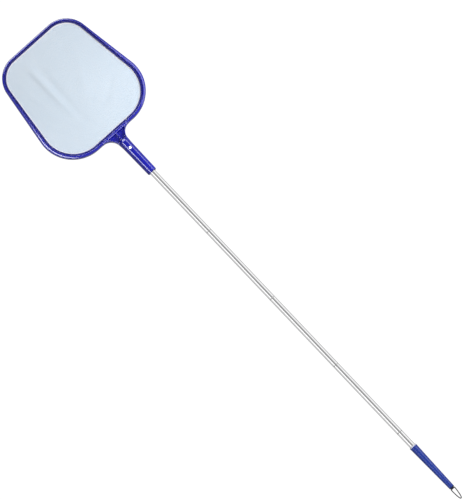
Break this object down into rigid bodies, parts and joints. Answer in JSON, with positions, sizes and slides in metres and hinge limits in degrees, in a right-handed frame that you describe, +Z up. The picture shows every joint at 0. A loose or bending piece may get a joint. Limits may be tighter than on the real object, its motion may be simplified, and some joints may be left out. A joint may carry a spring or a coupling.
{
  "type": "leaf skimmer net",
  "caption": "Flat net of fine mesh in a rounded four-sided moulded rim, with a ribbed throat and socket, on a plug-together tube pole with a tapered grip and a wire hanging loop.",
  "frame": {"origin": "under the middle of the whole length, on the surface that the flat back of the head lies on", "axes": "+Y along the pole towards the net head, +Z up out of the net's face, +X to the right"},
  "size_m": [0.301, 1.5421, 0.0236],
  "materials": {
    "head_plastic": "glossy moulded polypropylene",
    "retainer_plastic": "satin moulded plastic",
    "net_fabric": "fine woven mesh",
    "button_metal": "polished",
    "spring_steel": "rolled strip",
    "tube_aluminium": "drawn, polished",
    "plug_nylon": "moulded",
    "grip_plastic": "satin moulded",
    "cap_plastic": "satin moulded",
    "wire_steel": "drawn wire"
  },
  "bodies": {
    "head": {"head_frame": "head_plastic", "mesh_retainer": "retainer_plastic", "net_mesh": "net_fabric", "button_spring": "spring_steel", "pole_section_1": "tube_aluminium", "joint_plug_1": "plug_nylon"},
    "button": {"snap_button": "button_metal"},
    "section_2": {"pole_section_2": "tube_aluminium", "joint_plug_2": "plug_nylon"},
    "section_3": {"pole_section_3": "tube_aluminium", "joint_plug_3": "plug_nylon"},
    "section_4": {"pole_section_4": "tube_aluminium", "joint_plug_4": "plug_nylon"},
    "section_5": {"pole_section_5": "tube_aluminium", "grip_sleeve": "grip_plastic", "grip_end_cap": "cap_plastic"},
    "loop": {"hang_loop": "wire_steel"}
  },
  "joints": [
    {"name": "button_press", "type": "slide", "parent": "head", "child": "button", "axis": [0, 0, -1], "range_m": [0, 0.0055], "stiffness_N_per_m": 900, "springref_m": -0.002, "deforming": ["button_spring"]},
    {"name": "section_2_pull", "type": "slide", "parent": "head", "child": "section_2", "axis": [0, -1, 0], "range_m": [0, 0.032]},
    {"name": "section_3_pull", "type": "slide", "parent": "section_2", "child": "section_3", "axis": [0, -1, 0], "range_m": [0, 0.032]},
    {"name": "section_4_pull", "type": "slide", "parent": "section_3", "child": "section_4", "axis": [0, -1, 0], "range_m": [0, 0.032]},
    {"name": "section_5_pull", "type": "slide", "parent": "section_4", "child": "section_5", "axis": [0, -1, 0], "range_m": [0, 0.032]},
    {"name": "loop_swing", "type": "hinge", "parent": "section_5", "child": "loop", "pos_m": [0, -0.73913, 0.0102], "axis": [-1, 0, 0], "range_deg": [-74, 105]}
  ]
}
